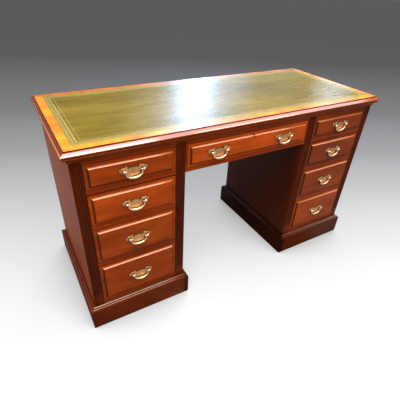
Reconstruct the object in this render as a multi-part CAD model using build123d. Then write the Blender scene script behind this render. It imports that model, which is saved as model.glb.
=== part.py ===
from build123d import *
import os
from math import atan2, ceil, cos, degrees, pi, radians, sin, sqrt, tan

# Twin-pedestal writing desk in millimetres: X across, -Y towards the sitter, Z up, floor at Z = 0.
# Everything is drawn with Y = 0 on the front plane of the carcass, and shifted once when saved.

# Overall plan
top_width = 1386.0
top_depth = 566.0
overhang = 19.5
pedestal_width = 384.5

# Heights, from the floor up
plinth_height = 104.0
bottom_rail_height = 16.0
lower_opening = 182.5
middle_opening = 155.0
upper_opening = 126.5
rail_height = 14.0
frieze_opening = 94.5
top_rail_height = 34.5
top_board_height = 17.0
veneer_thickness = 3.0

# Carcass boards
side_thickness = 18.0
back_thickness = 15.0
rail_depth = 60.0
top_rail_depth = 20.0
pedestal_board = 12.0
runner_land = 22.0
guide_height = 26.0
kicker_height = 20.0
kicker_gap = 2.0
centre_guide = 5.5
stop_size = 24.0
stop_height = 6.0
stop_spacing = 120.0

# Reeded pilasters
pilaster_width = 36.5
pilaster_depth = 22.0
reed_count = 5
reed_margin = 1.5
reed_depth = 2.8
pilaster_block = 160.0

# Top edge, crossbanding and leather
edge_width = 13.0
edge_arris_drop = 9.0
edge_bulge = 0.4
edge_fillet = 4.0
edge_undercut = 4.0
lipping_width = 24.0
crossband_width = 29.0
leather_thickness = 2.6

# Cornice moulding under the top
cornice_height = 22.0
cornice_reach = 16.0
cornice_bead = 7.0
cornice_bead_bulge = 2.0
cornice_step = 2.0
cornice_hollow = 2.9
cornice_fillet = 3.0

# Plinth moulding
plinth_reach = 19.0
plinth_flat = 88.0
plinth_bead_width = 6.0
plinth_bead_height = 10.5
plinth_quirk = 1.5
plinth_land = 3.0

# Drawers
drawer_gap = 1.0
lap_gap = 2.5
drawer_headroom = 3.0
drawer_back_gap = 12.0
drawer_slide_gap = 1.0
front_thickness = 20.0
field_border = 12.0
field_bevel = 5.0
field_raise = 6.0
drawer_side = 10.0
drawer_back = 10.0
drawer_back_drop = 6.0
bottom_thickness = 5.0
bottom_height = 8.0
groove_depth = 4.0
tail_length = 13.0
tail_pitch = 34.0
tail_share = 0.6
tail_slope = 8.0

# Handles
handle_rise = 0.5
handle_offset = 155.0
post_spacing = 67.0
plate_thickness = 2.0
plate_drop = 31.0
shield_peak = 9.0
shield_half_width = 15.5
foot_half_width = 15.0
ear_inset = 12.0
ear_height = 15.5
post_land = 9.0
post_seat = 5.0
wing_half_width = 47.0
post_reach = 8.0
post_flange_radius = 4.6
post_flange_height = 2.0
post_neck_radius = 2.9
post_ball_radius = 4.6
shank_radius = 2.4
shank_clearance = 0.3
nut_across = 9.0
nut_height = 4.0
shank_end = 2.0
pin_radius = 1.6
pin_clearance = 0.06
knuckle_radius = 2.8
knuckle_gap = 0.5
bail_half_width = 27.8
bail_drop = 26.0
bail_neck = 9.0
bail_mid_radius = 4.0
bail_arm_radius = 2.2

# Points and curves of a handle's back plate, from its crest round to its foot
shoulder_inset = 7.0
shoulder_drop = 5.6
notch_drop = 11.0
crest_reach = 3.0
crest_rise = 0.5
horn_drop = 5.5
lobe_inset = 6.5
lobe_drop = 2.0
waist_reach = 7.0
waist_drop = 2.5
crown_bulge = -1.9
shoulder_bulge = 2.8
neck_bulge = -1.4
ear_bulge = -3.4
crest_bulge = -2.5
wing_bulge = 3.5
hollow_bulge = -1.0
foot_bulge = 3.0

# Lock of the middle frieze drawer
lock_width = 48.0
lock_height = 36.0
lock_depth = 12.0
lock_wall = 1.5
selvedge_width = 62.0
selvedge_thickness = 2.5
bolt_width = 26.0
bolt_thickness = 6.0
bolt_height = 20.0
bolt_throw = 7.0
bolt_clearance = 0.3
bolt_notch = 10.0
key_pin_radius = 1.5
keyhole_drop = 13.0
keyhole_radius = 3.2
keyhole_slot = 4.4
keyhole_length = 10.5

# Dowels between the pedestals and the frieze section
dowel_radius = 6.0
dowel_clearance = 0.1
dowel_length = 24.0
dowel_inset = 70.0

# Levels and planes that follow from the sizes above
carcass_width = top_width - 2 * overhang
carcass_depth = top_depth - 2 * overhang
x_outer = carcass_width / 2
x_knee = x_outer - pedestal_width
lower_floor = plinth_height + bottom_rail_height
middle_floor = lower_floor + lower_opening + rail_height
upper_floor = middle_floor + middle_opening + rail_height
pedestal_top = upper_floor + upper_opening
frieze_floor = pedestal_top + rail_height
frieze_ceiling = frieze_floor + frieze_opening
frieze_top = frieze_ceiling + top_rail_height
veneer_base = frieze_top + top_board_height
box_end = carcass_depth - back_thickness - drawer_back_gap
pivot_y = -(field_raise + plate_thickness + post_reach)
front_reach = max(overhang, plinth_reach, post_ball_radius - pivot_y)
back_reach = max(overhang, plinth_reach)
y_shift = (front_reach - back_reach - carcass_depth) / 2


def block(x0, x1, y0, y1, z0, z1):
    """A rectangular board between two corners."""
    centre = Pos((x0 + x1) / 2, (y0 + y1) / 2, (z0 + z1) / 2)
    return centre * Box(x1 - x0, y1 - y0, z1 - z0)


def rod_y(x, z, radius, y0, y1):
    """A round rod along Y."""
    return Pos(x, (y0 + y1) / 2, z) * Rot(90, 0, 0) * Cylinder(radius, y1 - y0)


def rod_x(y, z, radius, x0, x1):
    """A round rod along X."""
    return Pos((x0 + x1) / 2, y, z) * Rot(0, 90, 0) * Cylinder(radius, x1 - x0)


def rod_z(x, y, radius, z0, z1):
    """A round rod along Z."""
    return Pos(x, y, (z0 + z1) / 2) * Cylinder(radius, z1 - z0)


def front_plane(x, y, z):
    """A drawing plane that faces the sitter, with X across and Z up."""
    return Plane(origin=(x, y, z), x_dir=(1, 0, 0), z_dir=(0, -1, 0))


def bulged(start, end, bulge):
    """An arc whose middle stands off its chord by the bulge, on the left of its run if positive."""
    along = end[0] - start[0]
    up = end[1] - start[1]
    length = sqrt(along**2 + up**2)
    middle_x = (start[0] + end[0]) / 2 - bulge * up / length
    middle_y = (start[1] + end[1]) / 2 + bulge * along / length
    return ThreePointArc(start, (middle_x, middle_y), end)


def save(node, pieces):
    """Writes a node's separate solids, shifted to the desk's own origin."""
    solids = [solid for piece in pieces for solid in piece.solids()]
    moved = Compound(children=[solid.moved(Location((0, y_shift, 0))) for solid in solids])
    export_step(moved, os.path.join("parts", node + ".step"))


def mitred_side(profile, half_run, distance, width):
    """One length of moulding on the front of a frame, cut at 45 degrees at both ends.

    The profile's x is the distance inwards from the outer edge, and its y is the height.
    """
    start = Plane(origin=(-half_run, -distance, 0), x_dir=(0, 1, 0), z_dir=(1, 0, 0))
    strip = extrude(start * profile, amount=2 * half_run, dir=(1, 0, 0))
    box = strip.bounding_box()
    plan = Polygon(
        (-half_run, -distance),
        (half_run, -distance),
        (half_run - width, width - distance),
        (width - half_run, width - distance),
        align=None,
    )
    return strip & (Pos(0, 0, box.min.Z) * extrude(plan, amount=box.max.Z - box.min.Z))


def mitred_frame(profile, half_x, half_y, width, centre_x):
    """Four mitred lengths of one moulding round a rectangle centred on the carcass depth."""
    sides = []
    for turn in range(4):
        run, distance = (half_x, half_y) if turn % 2 == 0 else (half_y, half_x)
        side = mitred_side(profile, run, distance, width)
        sides.append(Pos(centre_x, carcass_depth / 2, 0) * Rot(0, 0, 90 * turn) * side)
    return sides


def edge_profile():
    """Edge of the top: a flat thumb moulding sloping from the veneer, a fillet and an undercut."""
    arris = veneer_base - edge_arris_drop
    outer = (0, arris)
    inner = (edge_width, veneer_base)
    lower = (0, arris - edge_fillet)
    return make_face(
        bulged(outer, inner, edge_bulge)
        + Polyline(
            inner,
            (lipping_width, veneer_base),
            (lipping_width, frieze_top),
            (edge_undercut, frieze_top),
            lower,
            outer,
        )
    )


def cornice_profile():
    """Bead over a cove, from the underside of the top to the face of the frieze."""
    bead_face = cornice_bead_bulge
    bead_low = frieze_top - cornice_bead
    cove_out = bead_face + cornice_step
    foot = cornice_reach - cornice_fillet
    fillet_top = frieze_top - cornice_height + cornice_fillet
    bead_top = (bead_face, frieze_top)
    bead_end = (bead_face, bead_low)
    cove_top = (cove_out, bead_low)
    cove_end = (foot, fillet_top)
    return make_face(
        ThreePointArc(bead_top, (0, frieze_top - cornice_bead / 2), bead_end)
        + Line(bead_end, cove_top)
        + bulged(cove_top, cove_end, cornice_hollow)
        + Polyline(
            cove_end,
            (foot, frieze_top - cornice_height),
            (cornice_reach, frieze_top - cornice_height),
            (cornice_reach, frieze_top),
            bead_top,
        )
    )


def plinth_profile():
    """Flat plinth face under a rounded bead, a quirk and an ovolo."""
    bead_top = (plinth_bead_width, plinth_flat + plinth_bead_height)
    quirk = (plinth_bead_width + plinth_quirk, plinth_flat + plinth_bead_height - plinth_quirk)
    top = (plinth_reach - plinth_land, plinth_height)
    return make_face(
        Polyline((plinth_reach, plinth_height), (plinth_reach, 0), (0, 0), (0, plinth_flat))
        + TangentArc((0, plinth_flat), bead_top, tangent=(0, 1))
        + Line(bead_top, quirk)
        + TangentArc(top, quirk, tangent=(-1, 0))
        + Line(top, (plinth_reach, plinth_height))
    )


def pilaster(x0, z0, z1, block_height):
    """A reeded strip with a plain block of the given height at its foot."""
    x1 = x0 + pilaster_width
    pitch = (pilaster_width - 2 * reed_margin) / reed_count
    first = x0 + reed_margin
    last = x1 - reed_margin
    outline = Polyline(
        (last, reed_depth),
        (last, 0),
        (x1, 0),
        (x1, pilaster_depth),
        (x0, pilaster_depth),
        (x0, 0),
        (first, 0),
        (first, reed_depth),
    )
    for reed in range(reed_count):
        left = first + reed * pitch
        outline += ThreePointArc(
            (left, reed_depth), (left + pitch / 2, 0), (left + pitch, reed_depth)
        )
    shaft = Pos(0, 0, z0 + block_height) * extrude(make_face(outline), amount=z1 - z0 - block_height)
    if block_height > 0:
        shaft += block(x0, x1, 0, pilaster_depth, z0, z0 + block_height)
    return shaft


def front_rail(x0, x1, z0, z1):
    """A rail between two pilasters, widened behind them to meet the boards at both ends."""
    wide = pilaster_width - side_thickness
    rail = block(x0, x1, 0, rail_depth, z0, z1)
    return rail + block(x0 - wide, x1 + wide, pilaster_depth, rail_depth, z0, z1)


def rail_stops(x0, x1, z):
    """Two small blocks on a rail that stop the drawer front."""
    middle = (x0 + x1) / 2
    y0 = front_thickness
    return [
        block(x - stop_size / 2, x + stop_size / 2, y0, y0 + stop_size, z, z + stop_height)
        for x in (middle - stop_spacing / 2, middle + stop_spacing / 2)
    ]


def runner_pair(x0, x1, z0, z1, guide):
    """Runners under both drawer sides, each with a guide strip beside the drawer."""
    y1 = carcass_depth - back_thickness
    pieces = []
    for face, inwards in ((x0 - guide, 1), (x1 + guide, -1)):
        land = sorted((face, face + inwards * (guide + runner_land)))
        strip = sorted((face, face + inwards * guide))
        pieces.append(block(*land, rail_depth, y1, z0, z1))
        pieces.append(block(*strip, rail_depth, y1, z1, z1 + guide_height))
    return pieces


def dowel_places():
    """Plan positions of the dowels: two over each pedestal side."""
    wide = pilaster_width - side_thickness
    ends = (rail_depth + dowel_inset, carcass_depth - back_thickness - dowel_inset)
    inset = side_thickness + wide / 2
    middles = [s * (x_outer - inset) for s in (-1, 1)] + [s * (x_knee + inset) for s in (-1, 1)]
    return [(x, y) for x in middles for y in ends]


def drill_dowels(piece, z0, z1):
    """Bores a board for every dowel that passes through it."""
    for x, y in dowel_places():
        piece -= rod_z(x, y, dowel_radius + dowel_clearance, z0, z1)
    return piece


def make_top():
    """The top board with its lipping, crossbanding and leather, and the cornice under it."""
    half_x = top_width / 2
    half_y = top_depth / 2
    middle = carcass_depth / 2
    core_x = half_x - lipping_width
    core_y = half_y - lipping_width
    core = block(-core_x, core_x, middle - core_y, middle + core_y, frieze_top, veneer_base)
    save("top_board", [core])
    save("top_edge_moulding", mitred_frame(edge_profile(), half_x, half_y, lipping_width, 0))
    band = Pos(crossband_width / 2, veneer_base + veneer_thickness / 2) * Rectangle(
        crossband_width, veneer_thickness
    )
    band_x = half_x - edge_width
    band_y = half_y - edge_width
    save("crossbanding", mitred_frame(band, band_x, band_y, crossband_width, 0))
    skin_x = band_x - crossband_width
    skin_y = band_y - crossband_width
    skin_top = veneer_base + leather_thickness
    skin = block(-skin_x, skin_x, middle - skin_y, middle + skin_y, veneer_base, skin_top)
    save("leather_inset", [skin])
    cornice_x = x_outer + cornice_reach
    cornice_y = carcass_depth / 2 + cornice_reach
    save("cornice_moulding", mitred_frame(cornice_profile(), cornice_x, cornice_y, cornice_reach, 0))


def make_frieze():
    """The frieze section under the top: uprights, back, rails, runners and pilasters."""
    y_back = carcass_depth - back_thickness
    x_end = x_outer - side_thickness
    x_divider = x_knee + side_thickness
    walls = [block(-x_end, x_end, y_back, carcass_depth, pedestal_top, frieze_top)]
    for lo, hi, y_end in (
        (-x_outer, -x_end, carcass_depth),
        (x_end, x_outer, carcass_depth),
        (-x_divider, -x_knee, y_back),
        (x_knee, x_divider, y_back),
    ):
        walls.append(block(lo, hi, pilaster_depth, y_end, pedestal_top, frieze_top))
    save("frieze_carcass", walls)

    side_bays = [bay(-1), bay(1)]
    rails = []
    runners = []
    wide = pilaster_width - side_thickness
    for x0, x1 in side_bays:
        rails.append(front_rail(x0, x1, pedestal_top, frieze_floor))
        rails.append(block(x0, x1, 0, top_rail_depth, frieze_ceiling, frieze_top))
        rails += rail_stops(x0, x1, frieze_floor)
        runners += runner_pair(x0, x1, pedestal_top, frieze_floor, wide)
        runners += kickers(x0, x1, wide)
    rails.append(block(-x_knee, x_knee, 0, rail_depth, pedestal_top, frieze_floor))
    top_rail = block(-x_knee, x_knee, 0, top_rail_depth, frieze_ceiling, frieze_top)
    rails.append(top_rail - bolt_mortise())
    rails += rail_stops(-x_knee, x_knee, frieze_floor)
    centre_x = x_knee - centre_guide
    for x0, x1 in ((-x_knee, -centre_x), (centre_x, x_knee)):
        rails.append(block(x0, x1, 0, rail_depth, frieze_floor, frieze_ceiling))
    runners += runner_pair(-centre_x, centre_x, pedestal_top, frieze_floor, centre_guide)
    runners += kickers(-centre_x, centre_x, centre_guide)
    save("frieze_rails", rails)
    save("frieze_runners", [drill_dowels(piece, pedestal_top, frieze_floor) for piece in runners])
    strips = [
        pilaster(x0, pedestal_top, frieze_top, 0)
        for x0 in (-x_outer, -x_knee - pilaster_width, x_knee, x_outer - pilaster_width)
    ]
    save("frieze_pilasters", strips)


def bay(side):
    """The drawer opening between the pilasters on one side of the desk."""
    ends = sorted((side * (x_outer - pilaster_width), side * (x_knee + pilaster_width)))
    return ends[0], ends[1]


def kickers(x0, x1, guide):
    """Strips over the drawer sides that keep an open drawer from tipping."""
    y1 = carcass_depth - back_thickness
    z0 = frieze_ceiling + kicker_gap
    return [
        block(x0 - guide, x0 + runner_land, pilaster_depth, y1, z0, z0 + kicker_height),
        block(x1 - runner_land, x1 + guide, pilaster_depth, y1, z0, z0 + kicker_height),
    ]


def make_pedestal(name, side):
    """One pedestal: sides, boards, rails, runners and plinth."""
    x0, x1 = bay(side)
    wide = pilaster_width - side_thickness
    in0 = x0 - wide
    in1 = x1 + wide
    y_back = carcass_depth - back_thickness
    sides = [
        block(in0 - side_thickness, in0, pilaster_depth, carcass_depth, 0, pedestal_top),
        block(in1, in1 + side_thickness, pilaster_depth, carcass_depth, 0, pedestal_top),
    ]
    save(name + "_pedestal_sides", sides)
    board_front = front_thickness + drawer_gap
    lid = block(x0, x1, board_front, y_back, pedestal_top - pedestal_board, pedestal_top)
    lid += block(in0, in1, pilaster_depth, y_back, pedestal_top - pedestal_board, pedestal_top)
    lid = drill_dowels(lid, pedestal_top - pedestal_board, pedestal_top)
    floor = block(in0, in1, pilaster_depth, y_back, plinth_height - pedestal_board, plinth_height)
    rear = block(in0, in1, y_back, carcass_depth, 0, pedestal_top)
    save(name + "_pedestal_boards", [lid, floor, rear])

    rails = []
    runners = []
    for low, high in (
        (plinth_height, lower_floor),
        (middle_floor - rail_height, middle_floor),
        (upper_floor - rail_height, upper_floor),
    ):
        rails.append(front_rail(x0, x1, low, high))
        rails += rail_stops(x0, x1, high)
        runners += runner_pair(x0, x1, low, high, wide)
    save(name + "_drawer_rails", rails)
    save(name + "_drawer_runners", runners)
    half_x = pedestal_width / 2 + plinth_reach
    half_y = carcass_depth / 2 + plinth_reach
    base = mitred_frame(plinth_profile(), half_x, half_y, plinth_reach, (x0 + x1) / 2)
    save(name + "_plinth", base)


def make_pedestal_trim():
    """Reeded pilasters of both pedestals, and the dowels that locate the frieze section."""
    strips = [
        pilaster(x0, 0, pedestal_top, pilaster_block)
        for x0 in (-x_outer, -x_knee - pilaster_width, x_knee, x_outer - pilaster_width)
    ]
    save("pedestal_pilasters", strips)
    foot = pedestal_top - pedestal_board
    pegs = [rod_z(x, y, dowel_radius, foot, foot + dowel_length) for x, y in dowel_places()]
    save("locating_dowels", pegs)


def bolt_mortise():
    """Space in the rail above the middle drawer for the thrown lock bolt."""
    half = bolt_width / 2 + 2 * bolt_clearance
    y0, y1 = bolt_span()
    gap = 2 * bolt_clearance
    depth = bolt_throw + drawer_gap
    return block(-half, half, y0 - gap, y1 + gap, frieze_ceiling, frieze_ceiling + depth)


def bolt_span():
    """Front and back faces of the lock bolt."""
    middle = front_thickness - lock_depth / 2
    return middle - bolt_thickness / 2, middle + bolt_thickness / 2


def dovetails(x0, x1, z0, z1):
    """Tails on the front end of a drawer side, wider towards their tips."""
    count = max(2, ceil((z1 - z0) / tail_pitch))
    pitch = (z1 - z0) / count
    tip = pitch * tail_share / 2
    root = tip - tail_length * tan(radians(tail_slope))
    y0 = front_thickness - tail_length
    tails = []
    for row in range(count):
        z = z0 + pitch * (row + 0.5)
        outline = Polygon(
            (front_thickness, z - root),
            (y0, z - tip),
            (y0, z + tip),
            (front_thickness, z + root),
            align=None,
        )
        plane = Plane(origin=(x0, 0, 0), x_dir=(0, 1, 0), z_dir=(1, 0, 0))
        tails.append(extrude(plane * outline, amount=x1 - x0, dir=(1, 0, 0)))
    return tails


def make_drawer(name, x0, x1, z0, z1, top_gap, headroom, handle_xs):
    """One drawer for the opening x0..x1, z0..z1, with its handles and bails.

    top_gap is left over the front, and headroom over the sides of the box.
    """
    fx0, fx1 = x0 + drawer_gap, x1 - drawer_gap
    fz0, fz1 = z0 + drawer_gap, z1 - top_gap
    middle_x, middle_z = (fx0 + fx1) / 2, (fz0 + fz1) / 2
    width, height = fx1 - fx0 - 2 * field_border, fz1 - fz0 - 2 * field_border
    low = front_plane(middle_x, 0, middle_z) * Rectangle(width, height)
    high = front_plane(middle_x, -field_raise, middle_z) * Rectangle(
        width - 2 * field_bevel, height - 2 * field_bevel
    )
    front = block(fx0, fx1, 0, front_thickness, fz0, fz1) + loft([low, high])

    sx0, sx1 = x0 + drawer_slide_gap, x1 - drawer_slide_gap
    side_top = z1 - headroom
    panel_low = z0 + bottom_height
    panel_high = panel_low + bottom_thickness
    panel = block(
        sx0 + drawer_side - groove_depth,
        sx1 - drawer_side + groove_depth,
        front_thickness - groove_depth,
        box_end,
        panel_low,
        panel_high,
    )
    box = [panel]
    for a, b in ((sx0, sx0 + drawer_side), (sx1 - drawer_side, sx1)):
        side = block(a, b, front_thickness, box_end, z0, side_top)
        for tail in dovetails(a, b, fz0, min(side_top, fz1)):
            side += tail
            front -= tail
        box.append(side - panel)
    front -= panel
    box.append(
        block(
            sx0 + drawer_side,
            sx1 - drawer_side,
            box_end - drawer_back,
            box_end,
            panel_high,
            side_top - drawer_back_drop,
        )
    )
    axis_z = middle_z + handle_rise
    fittings = []
    for offset in handle_xs:
        for x in post_xs(middle_x + offset):
            bore = shank_radius + shank_clearance
            front -= rod_y(x, axis_z, bore, -field_raise, front_thickness)
        fittings += handle_fittings(middle_x + offset, axis_z)
    if len(handle_xs) == 1:
        save(name + "_handle", fittings)
        save(name + "_bail", [bail(middle_x, axis_z)])
    else:
        save(name + "_handles", fittings)
        for label, offset in zip(("left", "right"), handle_xs):
            save(name + "_bail_" + label, [bail(middle_x + offset, axis_z)])
        front = fit_lock(name, front, fz1)
    save(name + "_drawer_front", [front])
    save(name + "_drawer_box", box)


def post_xs(x):
    """Both post positions of a handle centred at x."""
    return x - post_spacing / 2, x + post_spacing / 2


def plate_outline():
    """Half of a back plate: a pointed shield in the middle and an eared wing round the post."""
    post = post_spacing / 2
    peak = (0, shield_peak)
    shoulder = (shield_half_width - shoulder_inset, shield_peak - shoulder_drop)
    notch = (shield_half_width, shield_peak - notch_drop)
    ear = (post - ear_inset, ear_height)
    crest = (post + crest_reach, post_land + crest_rise)
    horn = (wing_half_width, post_land - horn_drop)
    lobe = (wing_half_width - lobe_inset, -post_land - lobe_drop)
    waist = (shield_half_width + waist_reach, -post_land - waist_drop)
    foot = (foot_half_width, -plate_drop)
    half = Line((0, -plate_drop), foot)
    half += bulged(peak, shoulder, crown_bulge)
    half += bulged(shoulder, notch, shoulder_bulge)
    half += bulged(notch, ear, neck_bulge)
    half += bulged(ear, crest, ear_bulge)
    half += bulged(crest, horn, crest_bulge)
    half += bulged(horn, lobe, wing_bulge)
    half += bulged(lobe, waist, hollow_bulge)
    half += bulged(waist, foot, foot_bulge)
    return half


def handle_fittings(x, z):
    """Back plate, two ball-headed posts low in its wings with shanks through the front, and their nuts."""
    half = plate_outline()
    outline = make_face(half + mirror(half, Plane.YZ))
    face = front_plane(x, -field_raise, z + post_seat) * outline
    plate = extrude(face, amount=plate_thickness, dir=(0, -1, 0))
    face_y = -field_raise - plate_thickness
    pieces = []
    for post_x in post_xs(x):
        plate -= rod_y(post_x, z, shank_radius + shank_clearance, face_y, -field_raise)
        half_ball = post_ball_radius
        bore = rod_x(pivot_y, z, pin_radius + pin_clearance, post_x - half_ball, post_x + half_ball)
        pieces.append(handle_post(post_x, z) - bore)
        nut_face = Plane(origin=(post_x, front_thickness, z), x_dir=(1, 0, 0), z_dir=(0, 1, 0))
        hexagon = RegularPolygon(nut_across / 2, 6, major_radius=False) - Circle(shank_radius)
        pieces.append(extrude(nut_face * hexagon, amount=nut_height, dir=(0, 1, 0)))
    return [plate] + pieces


def handle_post(x, z):
    """A turned post: shank through the front, flange on the plate, neck and ball head."""
    face_y = -field_raise - plate_thickness
    tail = front_thickness + nut_height + shank_end
    collar = face_y - post_flange_height
    ball_start = pivot_y + sqrt(post_ball_radius**2 - post_neck_radius**2)
    tip = pivot_y - post_ball_radius
    outline = Polyline(
        (tip, 0),
        (tail, 0),
        (tail, shank_radius),
        (face_y, shank_radius),
        (face_y, post_flange_radius),
        (collar, post_flange_radius),
        (collar, post_neck_radius),
        (ball_start, post_neck_radius),
    )
    outline += ThreePointArc((ball_start, post_neck_radius), (pivot_y, post_ball_radius), (tip, 0))
    turning = Plane(origin=(x, 0, z), x_dir=(0, 1, 0), z_dir=(1, 0, 0))
    return revolve(turning * make_face(outline), axis=Axis((x, 0, z), (0, 1, 0)))


def bail(x, z):
    """Swan-neck bail: a loop thickened at its middle, with a knuckle and a pin at each end."""
    knuckle_x = post_spacing / 2 - post_ball_radius - knuckle_gap - knuckle_radius
    bow = bail_drop - bail_neck
    steps = 4
    sections = []
    lean = degrees(atan2(bail_half_width - knuckle_x, bail_neck))
    places = [(-knuckle_x, 0, -90 - lean, bail_arm_radius)]
    for step in range(-steps, steps + 1):
        angle = step * pi / 2 / steps
        heading = degrees(atan2(bow * sin(angle), bail_half_width * cos(angle)))
        thin = sin(angle) ** 2
        radius = bail_mid_radius + (bail_arm_radius - bail_mid_radius) * thin
        places.append((bail_half_width * sin(angle), -bail_neck - bow * cos(angle), heading, radius))
    places.append((knuckle_x, 0, 90 + lean, bail_arm_radius))
    for along, height, heading, radius in places:
        tangent = (cos(radians(heading)), 0, sin(radians(heading)))
        section = Plane(origin=(x + along, pivot_y, z + height), x_dir=(0, 1, 0), z_dir=tangent)
        sections.append(section * Circle(radius))
    loop = loft(sections)
    for side in (-1, 1):
        loop += Pos(x + side * knuckle_x, pivot_y, z) * Sphere(knuckle_radius)
        span = sorted((x + side * knuckle_x, x + side * (post_spacing / 2 + post_ball_radius / 2)))
        loop += rod_x(pivot_y, z, pin_radius, *span)
    return loop


def fit_lock(name, front, top):
    """Lets the lock into the back of the middle drawer front, and saves its case and bolt."""
    y0 = front_thickness - lock_depth
    y1 = front_thickness
    shelf = top - selvedge_thickness
    half = lock_width / 2
    case = block(-half, half, y0, y1, shelf - lock_height, shelf)
    plate = block(-selvedge_width / 2, selvedge_width / 2, y0, y1, shelf, top)
    front -= case
    front -= plate
    key_z = top - keyhole_drop
    slot = keyhole_slot / 2
    keyhole = rod_y(0, key_z, keyhole_radius, -field_raise, y0 + lock_wall)
    keyhole += block(-slot, slot, -field_raise, y0 + lock_wall, key_z - keyhole_length, key_z)
    front -= keyhole
    b0, b1 = bolt_span()
    room = bolt_width / 2 + bolt_clearance
    hollow = block(
        -room,
        room,
        y0 + lock_wall,
        y1 - lock_wall,
        shelf - lock_height + lock_wall,
        shelf - lock_wall,
    )
    slit = block(-room, room, b0 - bolt_clearance, b1 + bolt_clearance, shelf - lock_wall, top)
    pin_end = y0 + lock_wall
    pin = rod_y(0, key_z, key_pin_radius, pin_end, y1 - lock_wall)
    save(name + "_lock_case", [case + plate - hollow - slit - keyhole + pin])
    bolt = block(-bolt_width / 2, bolt_width / 2, b0, b1, top - bolt_height, top)
    notch = bolt_notch / 2
    notch_top = key_z + key_pin_radius + bolt_clearance
    bolt -= block(-notch, notch, b0, b1, top - bolt_height, notch_top)
    save(name + "_lock_bolt", [bolt])
    return front


def make_drawers():
    """The three frieze drawers and the three drawers of each pedestal."""
    centre_x = x_knee - centre_guide
    pair = (-handle_offset, handle_offset)
    frieze = (frieze_floor, frieze_ceiling, drawer_gap, drawer_headroom)
    make_drawer("frieze_centre", -centre_x, centre_x, *frieze, pair)
    under_board = pedestal_board + drawer_headroom
    for label, side in (("left", -1), ("right", 1)):
        x0, x1 = bay(side)
        make_drawer("frieze_" + label, x0, x1, *frieze, (0,))
        upper = (upper_floor, upper_floor + upper_opening, lap_gap, under_board)
        middle = (middle_floor, middle_floor + middle_opening, drawer_gap, drawer_headroom)
        lower = (lower_floor, lower_floor + lower_opening, drawer_gap, drawer_headroom)
        make_drawer(label + "_upper", x0, x1, *upper, (0,))
        make_drawer(label + "_middle", x0, x1, *middle, (0,))
        make_drawer(label + "_lower", x0, x1, *lower, (0,))


os.makedirs("parts", exist_ok=True)
make_top()
make_frieze()
make_pedestal("left", -1)
make_pedestal("right", 1)
make_pedestal_trim()
make_drawers()
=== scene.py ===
"""Dresses the twin-pedestal writing desk: timber, tooled leather, brass, floor, light and camera."""

import logging
import math
from dataclasses import dataclass, field
from enum import Enum
from typing import Any, Optional, Union

import bmesh
import bpy
from bmesh.types import BMesh, BMVert
from mathutils import Matrix, Vector


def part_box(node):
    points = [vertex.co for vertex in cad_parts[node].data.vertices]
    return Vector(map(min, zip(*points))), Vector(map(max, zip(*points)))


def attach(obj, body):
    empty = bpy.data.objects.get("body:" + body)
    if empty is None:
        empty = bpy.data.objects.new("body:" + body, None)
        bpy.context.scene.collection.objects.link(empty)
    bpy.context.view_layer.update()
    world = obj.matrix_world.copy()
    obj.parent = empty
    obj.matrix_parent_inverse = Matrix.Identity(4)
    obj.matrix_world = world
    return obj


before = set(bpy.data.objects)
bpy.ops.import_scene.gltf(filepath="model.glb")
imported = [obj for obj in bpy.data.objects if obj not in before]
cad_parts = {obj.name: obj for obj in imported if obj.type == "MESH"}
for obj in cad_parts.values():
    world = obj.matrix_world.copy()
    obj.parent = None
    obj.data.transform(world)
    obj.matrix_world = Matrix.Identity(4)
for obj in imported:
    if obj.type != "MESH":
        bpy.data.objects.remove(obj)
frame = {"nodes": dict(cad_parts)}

LOG = logging.getLogger("desk")
MM = 0.001
EBONY = (0.03, 0.011, 0.005)
COOL = (0.64, 0.81, 1.0)
SKY = (0.4, 0.65, 1.0)
WARM = (1.0, 0.83, 0.62)
PEARL = (0.88, 0.86, 0.94)

Pair = tuple[float, float]
Triple = tuple[float, float, float]
Colour = Triple
Board = tuple[Colour, Colour, Colour]
Material = bpy.types.Material
Socket = bpy.types.NodeSocket
Feed = Union[Socket, float, tuple[float, ...]]


def tone(red: int, green: int, blue: int) -> Colour:
    """Turns a colour as seen on a screen into the linear one that shaders take.

    Args:
        red: Red from 0 to 255.
        green: Green from 0 to 255.
        blue: Blue from 0 to 255.

    Returns:
        The linear colour.
    """
    def linear(value: int) -> float:
        """One channel of the colour."""
        share = value / 255
        return share / 12.92 if share <= 0.04045 else ((share + 0.055) / 1.055) ** 2.4

    return linear(red), linear(green), linear(blue)


class Grain(Enum):
    """The direction in which a board's fibres run."""

    ALONG_X = 0
    ALONG_Y = 1
    ALONG_Z = 2


class Blend(Enum):
    """What a Mix node mixes: the places of its share, of its two values and of its result."""

    VECTOR = (0, 4, 5, 1)
    RGBA = (0, 6, 7, 2)


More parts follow.
